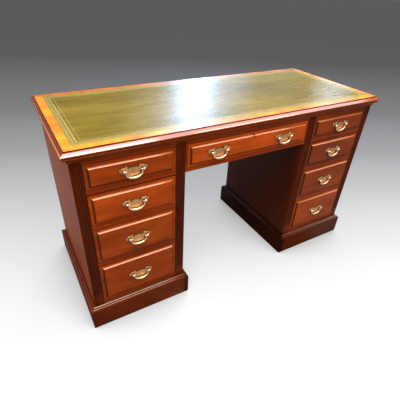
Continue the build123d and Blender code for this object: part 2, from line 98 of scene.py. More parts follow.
class Graph:
    """A material's node tree, with short calls for the nodes that the finishes share."""

    # How alike a true and a rounded normal are on a flat face and on a sharp edge.
    sharpness = (0.998, 0.86)
    # How much of the sky is open on a free face and in a deep corner.
    openness = (0.95, 0.6)

    def __init__(self, name: str) -> None:
        """Starts a material that holds one Principled shader.

        Args:
            name: Name of the material.
        """
        self.material = bpy.data.materials.new(name)
        self.material.use_nodes = True
        self.tree = self.material.node_tree
        self.tree.nodes.clear()
        self.shader = self.node("ShaderNodeBsdfPrincipled")
        output = self.node("ShaderNodeOutputMaterial")
        self.tree.links.new(self.shader.outputs["BSDF"], output.inputs["Surface"])
        self.place = self.node("ShaderNodeTexCoord").outputs["Object"]

    def node(self, kind: str, **settings: Any) -> bpy.types.Node:
        """Adds a node.

        Args:
            kind: Blender's name of the node type.
            **settings: Properties to set on the node.

        Returns:
            The new node.
        """
        made = self.tree.nodes.new(kind)
        for key, value in settings.items():
            setattr(made, key, value)
        return made

    def feed(self, socket: Socket, value: Feed) -> None:
        """Links or sets an input.

        Args:
            socket: The input.
            value: Another node's output, or a plain value.
        """
        if isinstance(value, Socket):
            self.tree.links.new(value, socket)
        elif isinstance(value, tuple) and len(value) == 3 and len(socket.default_value) == 4:
            socket.default_value = (*value, 1.0)
        else:
            socket.default_value = value

    def fill(self, node: bpy.types.Node, inputs: dict[Union[str, int], Feed]) -> bpy.types.Node:
        """Feeds a node's inputs, given by name or place, and hands the node back."""
        for key, value in inputs.items():
            self.feed(node.inputs[key], value)
        return node

    def surface(self, **inputs: Feed) -> None:
        """Feeds the shader's inputs, whose names are given with underscores for spaces."""
        self.fill(self.shader, {key.replace("_", " "): value for key, value in inputs.items()})

    def math(self, operation: str, first: Feed, second: Feed = 0.0) -> Socket:
        """Adds a Math node of one or two values."""
        made = self.node("ShaderNodeMath", operation=operation)
        return self.fill(made, {0: first, 1: second}).outputs["Value"]

    def times(self, first: Feed, second: Feed) -> Socket:
        """Multiplies two values."""
        return self.math("MULTIPLY", first, second)

    def weigh(self, first: Feed, second: Feed, share: float) -> Socket:
        """Adds two values, of which the first has a given share."""
        return self.math("ADD", self.times(first, share), self.times(second, 1.0 - share))

    def span(self, value: Feed, low: float, high: float, start: float = 0.0, end: float = 1.0) -> Socket:
        """Maps a range of values to another one, clamped at both ends.

        Args:
            value: The value.
            low: Where the first range begins.
            high: Where the first range ends.
            start: What the first range's beginning becomes.
            end: What the first range's end becomes.

        Returns:
            The mapped value.
        """
        made = self.node("ShaderNodeMapRange", clamp=True)
        inputs = {"Value": value, "From Min": low, "From Max": high, "To Min": start, "To Max": end}
        return self.fill(made, inputs).outputs["Result"]

    def noise(
        self, vector: Feed, scale: float = 1.0, detail: float = 4.0, distortion: float = 0.0,
    ) -> Socket:
        """Adds a noise texture.

        Args:
            vector: Coordinates.
            scale: Cells in a metre, before the coordinates' own stretch.
            detail: Octaves of finer noise.
            distortion: How far the noise bends itself.

        Returns:
            The noise, about 0 to 1.
        """
        made = self.node("ShaderNodeTexNoise")
        inputs = {"Vector": vector, "Scale": scale, "Detail": detail, "Distortion": distortion}
        return self.fill(made, inputs).outputs["Fac"]

    def cells(self, vector: Feed, scale: float) -> Socket:
        """Adds a cell texture and gives the distance to the nearest edge of a cell."""
        made = self.node("ShaderNodeTexVoronoi", feature="DISTANCE_TO_EDGE")
        return self.fill(made, {"Vector": vector, "Scale": scale}).outputs["Distance"]

    def stretch(self, vector: Feed, factors: Triple) -> Socket:
        """Scales coordinates by a factor for each axis."""
        made = self.node("ShaderNodeMapping")
        return self.fill(made, {"Vector": vector, "Scale": factors}).outputs["Vector"]

    def ramp(self, value: Feed, stops: list[tuple[float, Colour]]) -> Socket:
        """Turns a value into a colour.

        Args:
            value: The value, 0 to 1.
            stops: Places on the ramp and their colours.

        Returns:
            The colour.
        """
        made = self.node("ShaderNodeValToRGB")
        steps = made.color_ramp.elements
        while len(steps) < len(stops):
            steps.new(1.0)
        for step, (position, colour) in zip(steps, stops):
            step.position = position
            step.color = (*colour, 1.0)
        self.feed(made.inputs["Fac"], value)
        return made.outputs["Color"]

    def blend(self, what: Blend, values: tuple[Feed, Feed, Feed], **settings: Any) -> Socket:
        """Adds a Mix node.

        Args:
            what: What it mixes.
            values: How much of the second value there is, the first value and the second.
            **settings: Properties to set on the node.

        Returns:
            The mixed value.
        """
        *places, result = what.value
        made = self.node("ShaderNodeMix", data_type=what.name, **settings)
        return self.fill(made, dict(zip(places, values))).outputs[result]

    def mix(self, share: Feed, first: Feed, second: Feed, way: str = "MIX") -> Socket:
        """Mixes two colours in one of Blender's ways."""
        return self.blend(Blend.RGBA, (share, first, second), blend_type=way)

    def choose(self, share: Feed, first: Feed, second: Feed) -> Socket:
        """Mixes two vectors, as to choose between two sets of coordinates."""
        return self.blend(Blend.VECTOR, (share, first, second))

    def axes(self, vector: Feed) -> tuple[Socket, ...]:
        """Splits coordinates into X, Y and Z."""
        made = self.node("ShaderNodeSeparateXYZ")
        self.feed(made.inputs["Vector"], vector)
        return tuple(made.outputs)

    def edges(self, radius: float) -> Socket:
        """Finds the sharp edges of the shape.

        Args:
            radius: How far from an edge it still counts.

        Returns:
            A mask, 1 on the edges.
        """
        rounded = self.node("ShaderNodeBevel", samples=6)
        self.feed(rounded.inputs["Radius"], radius)
        true = self.node("ShaderNodeNewGeometry").outputs["Normal"]
        dot = self.node("ShaderNodeVectorMath", operation="DOT_PRODUCT")
        self.tree.links.new(rounded.outputs["Normal"], dot.inputs[0])
        self.tree.links.new(true, dot.inputs[1])
        return self.span(dot.outputs["Value"], *self.sharpness)

    def facing(self) -> tuple[Socket, ...]:
        """The way a surface faces along X, Y and Z, from -1 to 1."""
        return self.axes(self.node("ShaderNodeNewGeometry").outputs["Normal"])

    def occlusion(self, reach: float) -> Socket:
        """Finds corners and gaps that little of the sky reaches, where the finishes paint shade and dirt.

        Args:
            reach: How near another surface must be.

        Returns:
            A mask, 1 in the deepest corners.
        """
        made = self.node("ShaderNodeAmbientOcclusion", samples=8)
        self.feed(made.inputs["Distance"], reach)
        return self.span(made.outputs["AO"], *self.openness)

    def bump(self, height: Feed, strength: float, distance: float) -> Socket:
        """Turns heights into a bumped normal."""
        made = self.node("ShaderNodeBump")
        inputs = {"Height": height, "Strength": strength, "Distance": distance}
        return self.fill(made, inputs).outputs["Normal"]


class Face(Enum):
    """The two axes in which an outline is drawn."""

    LEVEL = (0, 1)
    UPRIGHT = (0, 2)


@dataclass(frozen=True)
class Outline:
    """The rectangle round a piece, whose strips meet at 45 degrees in its corners."""

    face: Face
    centre: Pair
    half: Pair

    @classmethod
    def of(cls, node: str, face: Face = Face.LEVEL) -> "Outline":
        """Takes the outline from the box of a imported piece.

        Args:
            node: Name of the piece.
            face: The axes of the outline.

        Returns:
            The outline.
        """
        low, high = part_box(node)
        centre = tuple((low[axis] + high[axis]) / 2 for axis in face.value)
        half = tuple((high[axis] - low[axis]) / 2 for axis in face.value)
        return cls(face, centre, half)

    def beyond(self, graph: Graph) -> list[Socket]:
        """Measures how far a point lies beyond each pair of sides, negative within."""
        values = graph.axes(graph.place)
        found = []
        for axis, centre, half in zip(self.face.value, self.centre, self.half):
            away = graph.math("ABSOLUTE", graph.math("SUBTRACT", values[axis], centre))
            found.append(graph.math("SUBTRACT", away, half))
        return found

    def on_sides(self, graph: Graph) -> Socket:
        """Finds the strips along the second axis, as a mask that is 1 on them."""
        return graph.math("GREATER_THAN", *self.beyond(graph))

    def on_rim(self, graph: Graph, width: float) -> Socket:
        """Finds a strip of a given width along the outline, as a mask that is 1 on it."""
        return graph.math("GREATER_THAN", graph.math("MAXIMUM", *self.beyond(graph)), -width)


@dataclass(frozen=True)
class StainAndShade:
    """A part of a piece on one side of a level along one axis, with a tone of its own: a real stain, or
    painted shade such as inside the kneehole and on the crossbanding's back strip.
    """

    axis: Grain
    level: float
    depth: float
    above: bool = True
    mirrored: bool = False
    tint: Optional[Colour] = None

    def mask(self, graph: Graph) -> Socket:
        """Finds the stained part.

        Args:
            graph: The material's nodes.

        Returns:
            A mask, as strong as the stain is deep.
        """
        value = graph.axes(graph.place)[self.axis.value]
        if self.mirrored:
            value = graph.math("ABSOLUTE", value)
        side = graph.math("GREATER_THAN" if self.above else "LESS_THAN", value, self.level)
        return graph.times(side, self.depth)


@dataclass(frozen=True)
class Line:
    """A line along the outline of a piece: an inlaid string, a painted highlight or a painted shadow
    line.
    """

    outline: Outline
    width: float
    tint: Colour
    sides_only: bool = False

    def mask(self, graph: Graph) -> Socket:
        """Finds the line, as a mask that is 1 on it."""
        rim = self.outline.on_rim(graph, self.width)
        return graph.times(rim, self.outline.on_sides(graph)) if self.sides_only else rim


@dataclass(frozen=True)
class TimberFinish:
    """A polished or plain timber with figure, fine streaks, pores, worn edges, and dirt with painted
    shade in its corners; it can also paint shade on faces turned left or down, a highlight on slopes
    turned up, and lines along its outline.

    Fields that end in cells hold the cells in a metre along the fibres and across them.
    """

    name: str
    dark: Colour
    middle: Colour
    light: Colour
    grain: Grain = Grain.ALONG_X
    mitre: Optional[Outline] = None
    figure_cells: Pair = (1.3, 11.0)
    figure_share: float = 0.62
    streak_cells: Pair = (7.0, 240.0)
    pore_cells: Pair = (55.0, 1300.0)
    pore_depth: float = 0.3
    cloud_cells: Pair = (7.0, 16.0)
    mottle: float = 0.2
    # A part with a stain of its own or with painted shade, and the tone factor it darkens to when it has
    # no tint.
    stain_and_shade: Optional[StainAndShade] = None
    stain_and_shade_tone: float = 0.22
    # Painted shade on faces turned left or down: how strong, and over which facings.
    side_shade: float = 0.0
    side_shade_facing: Pair = (-0.35, -0.6)
    # Painted highlight: a lighter, golden tone on slopes that face up.
    upslope_highlight: Optional[Colour] = None
    upward: Pair = (0.25, 0.6)
    # Lines along the outline: inlay, painted highlights and painted shadow lines.
    lines: tuple[Line, ...] = ()
    wear: float = 0.35
    wear_reach: float = 1.6 * MM
    wear_cells: float = 38.0
    # Painted shade with dirt in corners, gaps and grooves: how strong, how far it reaches, and the tone
    # it darkens to.
    shade_and_dirt: float = 0.7
    shade_and_dirt_reach: float = 9 * MM
    shade_and_dirt_tone: float = 0.18
    roughness: float = 0.34
    smear_cells: Pair = (3.0, 9.0)
    sheen_level: float = 0.28
    sheen_tint: Colour = (1.0, 0.5, 0.2)
    polish: float = 0.1
    burnish: float = 0.85
    polish_roughness: float = 0.1
    polish_density: float = 1.72
    dull_behind: Optional[float] = None
    dulled: float = 0.3
    relief: float = 0.2 * MM

    def along(self, graph: Graph, length: float, width: float) -> Socket:
        """Gives coordinates that are drawn out along the fibres.

        Args:
            graph: The material's nodes.
            length: Cells in a metre along the fibres.
            width: Cells in a metre across them.

        Returns:
            The coordinates.
        """
        def drawn(axis: Grain) -> Socket:
            """Coordinates drawn out along one axis."""
            cells = tuple(length if other is axis else width for other in Grain)
            return graph.stretch(graph.place, cells)

        if self.mitre is None:
            return drawn(self.grain)
        turned = Grain.ALONG_Y if self.grain is Grain.ALONG_X else Grain.ALONG_X
        return graph.choose(self.mitre.on_sides(graph), drawn(self.grain), drawn(turned))

    def board(self, graph: Graph, streaks: Socket, pores: Socket) -> Socket:
        """Colours the bare board: figure, streaks, pores, clouds, and a part with a stain of its own or
        with painted shade.

        Args:
            graph: The material's nodes.
            streaks: The fine streaks.
            pores: A mask, 1 in the pores.

        Returns:
            The colour.
        """
        figure = graph.noise(self.along(graph, *self.figure_cells), detail=5.0, distortion=0.7)
        blend = graph.weigh(figure, streaks, self.figure_share)
        colour = graph.ramp(blend, [(0.24, self.dark), (0.5, self.middle), (0.76, self.light)])
        colour = graph.mix(graph.times(pores, self.pore_depth), colour, self.dark)
        clouds = graph.noise(self.along(graph, *self.cloud_cells), distortion=0.8)
        shading = graph.span(clouds, 0.3, 0.68, 1.0 - self.mottle, 1.0 + self.mottle)
        colour = graph.mix(1.0, colour, shading, "MULTIPLY")
        if self.stain_and_shade is not None:
            tint = self.stain_and_shade.tint or tuple(self.stain_and_shade_tone * part for part in self.dark)
            colour = graph.mix(self.stain_and_shade.mask(graph), colour, tint)
        return colour

    def material(self) -> Material:
        """Builds the finish.

        Returns:
            The material.
        """
        graph = Graph(self.name)
        streaks = graph.noise(self.along(graph, *self.streak_cells))
        pores = graph.span(graph.noise(self.along(graph, *self.pore_cells), detail=1.0), 0.6, 0.7)
        colour = self.board(graph, streaks, pores)
        left, _, up = graph.facing()
        # Painted shade: faces turned left or down are darkened towards ebony, as if the light fell from
        # the right and above.
        if self.side_shade:
            away = graph.math("MAXIMUM", *(graph.span(side, *self.side_shade_facing) for side in (left, up)))
            colour = graph.mix(graph.times(away, self.side_shade), colour, EBONY)
        # Painted highlight: slopes that face up are given a lighter, golden tone.
        if self.upslope_highlight is not None:
            colour = graph.mix(graph.span(up, *self.upward), colour, self.upslope_highlight)
        for line in self.lines:
            colour = graph.mix(line.mask(graph), colour, line.tint)
        patches = graph.span(graph.noise(graph.place, self.wear_cells), 0.42, 0.62)
        rubbed = graph.times(patches, self.wear)
        colour = graph.mix(graph.times(graph.edges(self.wear_reach), rubbed), colour, self.light)
        # Painted shade with dirt: corners, gaps and grooves that the sky hardly reaches are darkened.
        shade_and_dirt_mask = graph.times(graph.occlusion(self.shade_and_dirt_reach), self.shade_and_dirt)
        colour = graph.mix(shade_and_dirt_mask, colour, tuple(self.shade_and_dirt_tone * part for part in self.dark))
        smears = graph.noise(self.along(graph, *self.smear_cells))
        height = graph.math("SUBTRACT", graph.times(streaks, 0.35), pores)
        polish = graph.span(up, *self.upward, self.polish, self.burnish)
        if self.dull_behind is not None:
            proud = graph.math("LESS_THAN", graph.axes(graph.place)[1], self.dull_behind)
            polish = graph.times(polish, graph.span(proud, 0.0, 1.0, self.dulled, 1.0))
        graph.surface(
            Base_Color=colour,
            Roughness=graph.span(smears, 0.3, 0.7, self.roughness - 0.05, self.roughness + 0.07),
            Normal=graph.bump(height, 0.12, self.relief),
            Specular_IOR_Level=self.sheen_level,
            Specular_Tint=self.sheen_tint,
            Coat_Weight=graph.times(polish, graph.math("SUBTRACT", 1.0, shade_and_dirt_mask)),
            Coat_Roughness=self.polish_roughness,
            Coat_IOR=self.polish_density,
        )
        return graph.material


@dataclass(frozen=True)
class LeatherFinish:
    """Olive hide with a fine pebbled grain, brushed dye, a paler border and a soft shine from use.

    Fields that end in cells hold the cells in a metre along X, Y and Z.
    """

    name: str
    sheet: Outline
    dark: Colour = tone(101, 89, 21)
    middle: Colour = tone(119, 104, 30)
    light: Colour = tone(136, 119, 43)
    border_tone: Colour = tone(122, 118, 54)
    border: float = 16 * MM
    border_depth: float = 0.6
    cloud_cells: Triple = (2.2, 6.0, 6.0)
    cloud_share: float = 0.7
    stroke_cells: Triple = (7.0, 38.0, 7.0)
    ripple_cells: Triple = (9.0, 52.0, 1.0)
    pebble_cells: float = 900.0
    pebble_share: float = 0.02
    crease_depth: float = 0.25
    relief: float = 1.4 * MM
    gloss: Pair = (0.22, 0.32)
    sheen_level: float = 0.45

    def material(self) -> Material:
        """Builds the finish.

        Returns:
            The material.
        """
        graph = Graph(self.name)
        clouds = graph.noise(graph.stretch(graph.place, self.cloud_cells), distortion=0.4)
        strokes = graph.noise(graph.stretch(graph.place, self.stroke_cells), distortion=0.5)
        blend = graph.weigh(clouds, strokes, self.cloud_share)
        colour = graph.ramp(blend, [(0.34, self.dark), (0.5, self.middle), (0.66, self.light)])
        edging = graph.times(self.sheet.on_rim(graph, self.border), self.border_depth)
        colour = graph.mix(edging, colour, self.border_tone)
        pebbles = graph.span(graph.cells(graph.place, self.pebble_cells), 0.0, 0.12)
        colour = graph.mix(graph.span(pebbles, 0.0, 1.0, self.crease_depth, 0.0), colour, self.dark)
        ripples = graph.noise(graph.stretch(graph.place, self.ripple_cells), detail=3.0, distortion=0.3)
        height = graph.math("ADD", graph.times(pebbles, self.pebble_share), ripples)
        graph.surface(
            Base_Color=colour,
            Roughness=graph.span(strokes, 0.3, 0.7, *self.gloss),
            Normal=graph.bump(height, 1.0, self.relief),
            Specular_IOR_Level=self.sheen_level,
        )
        return graph.material


@dataclass(frozen=True)
class MetalFinish:
    """Brass or gilt with bright edges, hollows darkened by tarnish and painted shade, and parts past a
    level along Y rubbed bright and painted with a highlight.
    """

    name: str
    bright: Colour
    toned: Colour
    tarnish: Colour
    roughness: float
    reach: float = 5 * MM
    metallic: float = 1.0
    tarnish_and_shade_depth: float = 0.75
    edge_reach: float = 0.7 * MM
    edge_shine: float = 0.5
    cloud_cells: float = 120.0
    scratch_cells: Triple = (260.0, 260.0, 2600.0)
    scratch_depth: float = 0.1 * MM
    rubbed: Optional[tuple[float, Colour]] = None

    def material(self) -> Material:
        """Builds the finish.

        Returns:
            The material.
        """
        graph = Graph(self.name)
        clouds = graph.noise(graph.place, self.cloud_cells, distortion=0.4)
        colour = graph.ramp(clouds, [(0.3, self.toned), (0.6, self.bright)])
        # Tarnish and painted shade: hollows are darkened towards the tarnish colour.
        dulled = graph.times(graph.occlusion(self.reach), self.tarnish_and_shade_depth)
        colour = graph.mix(dulled, colour, self.tarnish)
        shine = graph.times(graph.edges(self.edge_reach), self.edge_shine)
        colour = graph.mix(shine, colour, self.bright)
        # Rubbed bright and painted highlight: parts standing out past the level are lightened.
        if self.rubbed is not None:
            level, polished = self.rubbed
            proud = graph.math("LESS_THAN", graph.axes(graph.place)[1], level)
            colour = graph.mix(proud, colour, polished)
        scratches = graph.noise(graph.stretch(graph.place, self.scratch_cells), detail=2.0)
        graph.surface(
            Base_Color=colour,
            Metallic=self.metallic,
            Roughness=graph.span(clouds, 0.3, 0.7, self.roughness - 0.05, self.roughness + 0.12),
            Normal=graph.bump(scratches, 0.05, self.scratch_depth),
        )
        return graph.material


@dataclass(frozen=True)
class FloorFinish:
    """Pale studio floor, white in front of the desk, greyer behind it and dim in its shelter."""

    name: str = "pale_floor"
    recede: Pair = (0.418, 0.909)
    start: float = -0.9
    reach: float = 6.0
    shades: tuple[tuple[float, int], ...] = (
        (-0.9, 255), (-0.48, 252), (-0.25, 244), (0.06, 227),
        (0.475, 199), (1.08, 164), (2.0, 130), (4.4, 97),
    )
    glow: float = 0.78
    matt: Colour = (0.15, 0.164, 0.185)
    roughness: float = 0.9
    sheen_level: float = 0.1
    bounce: float = 0.2
    shelter: float = 0.5
    shelter_depth: float = 0.42
    sheltered: Pair = (0.45, 0.71)

    def material(self) -> Material:
        """Builds the finish.

        Returns:
            The material.
        """
        graph = Graph(self.name)
        x, y, _ = graph.axes(graph.place)
        across, back = (graph.times(value, share) for value, share in zip((x, y), self.recede))
        depth = graph.span(graph.math("ADD", across, back), self.start, self.start + self.reach)
        places = [(place - self.start) / self.reach for place, _ in self.shades]
        greys = [tone(grey, grey, grey) for _, grey in self.shades]
        shade = graph.ramp(depth, list(zip(places, greys)))
        seen = graph.node("ShaderNodeLightPath").outputs["Is Camera Ray"]
        # Painted shadow: the floor's own glow is dimmed where the desk shuts out the sky.
        open_sky = graph.node("ShaderNodeAmbientOcclusion", samples=16)
        graph.feed(open_sky.inputs["Distance"], self.shelter)
        dimmed = graph.span(open_sky.outputs["AO"], *self.sheltered, 1.0 - self.shelter_depth, 1.0)
        shade = graph.mix(1.0, shade, dimmed, "MULTIPLY")
        matt = graph.mix(1.0, shade, self.matt, "MULTIPLY")
        graph.surface(
            Base_Color=graph.mix(seen, (self.bounce,) * 3, matt),
            Roughness=self.roughness,
            Specular_IOR_Level=self.sheen_level,
            Emission_Color=shade,
            Emission_Strength=graph.times(seen, self.glow),
        )
        return graph.material


@dataclass(frozen=True)
class Palette:
    """Every finish of the desk, built once and shared by its pieces."""

    mahogany: Board = (tone(106, 38, 5), tone(144, 57, 7), tone(174, 78, 13))
    shaded: Board = (tone(52, 15, 3), tone(84, 26, 5), tone(118, 43, 9))
    brown_tone: Board = (tone(66, 21, 4), tone(98, 34, 6), tone(126, 51, 11))
    reddened: Board = (tone(100, 31, 3), tone(136, 47, 5), tone(164, 65, 9))
    veneer: Board = (tone(200, 96, 17), tone(238, 138, 34), tone(254, 170, 58))
    oak: Board = (tone(140, 100, 58), tone(178, 138, 88), tone(204, 168, 118))
    deal: Board = (tone(112, 72, 40), tone(146, 100, 60), tone(176, 130, 86))
    made: dict[str, Material] = field(default_factory=dict)

    def keep(self, finish: Any) -> Material:
        """Builds a finish the first time it is asked for.

        Args:
            finish: The finish.

        Returns:
            Its material.
        """
        if finish.name not in self.made:
            self.made[finish.name] = finish.material()
        return self.made[finish.name]

    def polished(self, name: str, grain: Grain, mitre: Optional[Outline] = None) -> Material:
        """Reddish French-polished mahogany."""
        return self.keep(TimberFinish(name, *self.mahogany, grain=grain, mitre=mitre))

    def front(self, node: str, face: float, shade: float) -> Material:
        """Figured mahogany of a drawer front, with a painted shadow line along its edge, painted shade on
        its field's left and lower slopes and a painted golden highlight on its upper slope.

        Args:
            node: The drawer front.
            face: Where its border stands along Y.
            shade: How much lighter it is painted than the others, for its board's tone and for painted
                light and shade.

        Returns:
            The material.
        """
        board = [tuple(shade * part for part in colour) for colour in self.mahogany]
        border = StainAndShade(Grain.ALONG_Y, level=face - 0.5 * MM, depth=0.04)
        # Painted shadow: a dark line round the front, where the gap round the drawer falls into shade.
        gap_shadow_line = Line(Outline.of(node, Face.UPRIGHT), width=1.3 * MM, tint=EBONY)
        # The field's left and lower slopes get painted shade, its upper slope a painted golden highlight,
        # and its corners painted shade with dirt.
        timber = TimberFinish(
            f"mahogany_{node}", *board, stain_and_shade=border, lines=(gap_shadow_line,), side_shade=0.85, shade_and_dirt=0.9, burnish=1.0,
            dull_behind=(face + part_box(node)[0][1]) / 2, upslope_highlight=tone(168, 76, 21),
        )
        return self.keep(timber)

    def moulded_edge(self, mitre: Outline) -> Material:
        """Mahogany of the top's moulded edge, its ends painted with a highlight along the arris and a
        shadow in the quirk behind it, and painted shade on faces turned left or down.
        """
        # Painted shadow in the quirk and a painted highlight along the arris, on the ends only.
        quirk_shadow = Line(mitre, width=5.6 * MM, tint=EBONY, sides_only=True)
        arris_highlight = Line(mitre, width=4.0 * MM, tint=tone(206, 124, 74), sides_only=True)
        timber = TimberFinish(
            "mahogany_moulded_edge", *self.mahogany, mitre=mitre, side_shade=0.35, lines=(quirk_shadow, arris_highlight),
            burnish=1.0, polish_density=2.05,
        )
        return self.keep(timber)

    def rails(self) -> Material:
        """Redder mahogany of the rails round the drawers."""
        return self.keep(TimberFinish("mahogany_rails", *self.reddened, sheen_level=0.2, burnish=0.15))

    def sides(self, kneehole: float) -> Material:
        """Upright mahogany of the pedestal sides, with painted shade inside the kneehole."""
        # Painted shade: the boards within the kneehole are darkened.
        inside = StainAndShade(Grain.ALONG_X, level=kneehole, depth=0.86, above=False, mirrored=True)
        timber = TimberFinish(
            "mahogany_sides", *self.mahogany, grain=Grain.ALONG_Z, stain_and_shade=inside,
            sheen_level=0.26, polish=0.12, burnish=0.12,
        )
        return self.keep(timber)

    def base_polished(self, name: str, mitre: Outline, kneehole: float, shade: float) -> Material:
        """Browner mahogany of a plinth, dulled by shoes and mops and with painted shade inside the
        kneehole.

        Args:
            name: Name of the material.
            mitre: The plinth's outline.
            kneehole: Where the kneehole ends, measured from the middle of the desk.
            shade: How much lighter it is painted than the other's, for its timber's tone and for painted
                light and shade.

        Returns:
            The material.
        """
        # Painted shade: the plinth within the kneehole is darkened.
        inside = StainAndShade(Grain.ALONG_X, level=kneehole, depth=0.8, above=False, mirrored=True)
        board = [tuple(shade * part for part in colour) for colour in self.brown_tone]
        timber = TimberFinish(
            name, *board, mitre=mitre, stain_and_shade=inside, roughness=0.4, wear=0.5,
            sheen_level=0.18, polish=0.0,
        )
        return self.keep(timber)

    def reeded(self, outer: float) -> Material:
        """Darker French-polished mahogany of the pilasters, whose outer sides match the pedestals, with
        painted shade and dirt in the grooves between the reeds.
        """
        level = outer - 0.4 * MM
        returns = StainAndShade(Grain.ALONG_X, level, depth=0.95, mirrored=True, tint=self.mahogany[1])
        # Painted shade with dirt in the grooves between the reeds.
        timber = TimberFinish(
            "mahogany_reeded", *self.shaded, grain=Grain.ALONG_Z, stain_and_shade=returns,
            sheen_level=0.2, shade_and_dirt=0.95,
        )
        return self.keep(timber)

    def cornice(self, mitre: Outline) -> Material:
        """Mahogany of the cornice, with painted shade and dirt in its hollow."""
        timber = TimberFinish("mahogany_cornice", *self.mahogany, mitre=mitre, sheen_level=0.2, shade_and_dirt=0.85)
        return self.keep(timber)

    def banding(self, mitre: Outline, back: float) -> Material:
        """Honey-coloured veneer whose grain runs across the border, inside an ebony string line.

        Args:
            mitre: The border's outline.
            back: Where its back strip starts along Y, which is painted darker as shade.

        Returns:
            The material.
        """
        # Painted shade: the back strip of the veneer is darkened towards brown.
        brown_tone = StainAndShade(Grain.ALONG_Y, level=back, depth=0.6, tint=tone(150, 84, 30))
        string = Line(mitre, width=1.3 * MM, tint=EBONY)
        timber = TimberFinish(
            "crossband_veneer", *self.veneer, grain=Grain.ALONG_Y, mitre=mitre, lines=(string,),
            stain_and_shade=brown_tone, burnish=0.65, polish_roughness=0.3, mottle=0.3,
        )
        return self.keep(timber)

    def lining(self, name: str, grain: Grain) -> Material:
        """Plain waxed oak of the drawer boxes."""
        return self.plain(name, self.oak, grain, 0.55)

    def secondary(self, name: str, grain: Grain) -> Material:
        """Unpolished timber inside the carcass."""
        return self.plain(name, self.deal, grain, 0.7)

    def plain(self, name: str, timber: Board, grain: Grain, roughness: float) -> Material:
        """A timber without polish."""
        finish = TimberFinish(name, *timber, grain=grain, roughness=roughness, polish=0.0, burnish=0.0)
        return self.keep(finish)

    def leather(self, sheet: Outline) -> Material:
        """Olive hide of the writing surface."""
        return self.keep(LeatherFinish("olive_hide", sheet))

    def brass(self) -> Material:
        """Polished brass of the bails."""
        polished = MetalFinish(
            "polished_brass", tone(252, 236, 206), tone(234, 208, 166), tone(78, 44, 18),
            roughness=0.3, metallic=0.7,
        )
        return self.keep(polished)

    def toned_brass(self, proud: float) -> Material:
        """Duller brass of the plates, with tarnish and painted shade round the posts, and the posts that
        stand out past a level along Y rubbed bright and painted with a highlight.
        """
        toned = MetalFinish(
            "toned_brass", tone(248, 204, 156), tone(228, 174, 128), tone(50, 21, 8),
            roughness=0.42, reach=6 * MM, tarnish_and_shade_depth=0.9, rubbed=(proud, tone(255, 246, 226)),
        )
        return self.keep(toned)

    def lock_brass(self) -> Material:
        """Tarnished brass of the lock, darkened deep inside by painted shade so that the keyhole reads
        dark.
        """
        # Tarnish and painted shade: a long reach darkens the lock behind the keyhole.
        aged_and_shaded = MetalFinish(
            "aged_brass", tone(168, 128, 72), tone(120, 84, 42), tone(20, 11, 5),
            roughness=0.45, reach=25 * MM,
        )
        return self.keep(aged_and_shaded)

    def gilt(self) -> Material:
        """Rubbed gold leaf of the tooling."""
        leaf = MetalFinish(
            "rubbed_gilt", tone(222, 210, 142), tone(192, 180, 108), tone(150, 134, 66),
            roughness=0.35, metallic=0.3,
        )
        return self.keep(leaf)


class Dresser:
    """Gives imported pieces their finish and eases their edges."""

    weld_within = 0.002 * MM
    flat_within = math.radians(0.05)
    eased_from = math.radians(38)
    ease_segments = 2
    face_weight = 60

    def __init__(self, nodes: dict[str, bpy.types.Object], palette: Palette) -> None:
        """Keeps the pieces and the finishes.

        Args:
            nodes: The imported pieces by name.
            palette: The desk's finishes.
        """
        self.nodes = nodes
        self.palette = palette
        self.dressed: set[str] = set()

    def finish(self, node: str, material: Material, ease: float = 0.0, moulded: bool = False) -> None:
        """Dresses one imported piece.

        Args:
            node: Name of the piece.
            material: Its finish.
            ease: Width of the softened arris in metres, 0 to leave it sharp.
            moulded: True for a run moulding, whose shallow curves keep all their facets.
        """
        piece = self.nodes[node]
        if piece.material_slots:
            for slot in piece.material_slots:
                slot.material = material
        else:
            piece.data.materials.append(material)
        if ease:
            self.ease_edges(piece, ease, moulded)
        self.dressed.add(node)
        LOG.info("dressed %s in %s", node, material.name)

    def ease_edges(self, piece: bpy.types.Object, ease: float, moulded: bool) -> None:
        """Softens a piece's arrises and keeps its faces flat.

        Args:
            piece: The piece.
            ease: Width of the softened arris in metres.
            moulded: True for a run moulding.
        """
        weld = piece.modifiers.new("weld", "WELD")
        weld.merge_threshold = self.weld_within
        if not moulded:
            planes = piece.modifiers.new("planes", "DECIMATE")
            planes.decimate_type = "DISSOLVE"
            planes.angle_limit = self.flat_within
        bevel = piece.modifiers.new("ease", "BEVEL")
        bevel.width = ease
        bevel.segments = self.ease_segments
        bevel.limit_method = "ANGLE"
        bevel.angle_limit = self.eased_from
        shading = piece.modifiers.new("flat_faces", "WEIGHTED_NORMAL")
        shading.weight = self.face_weight


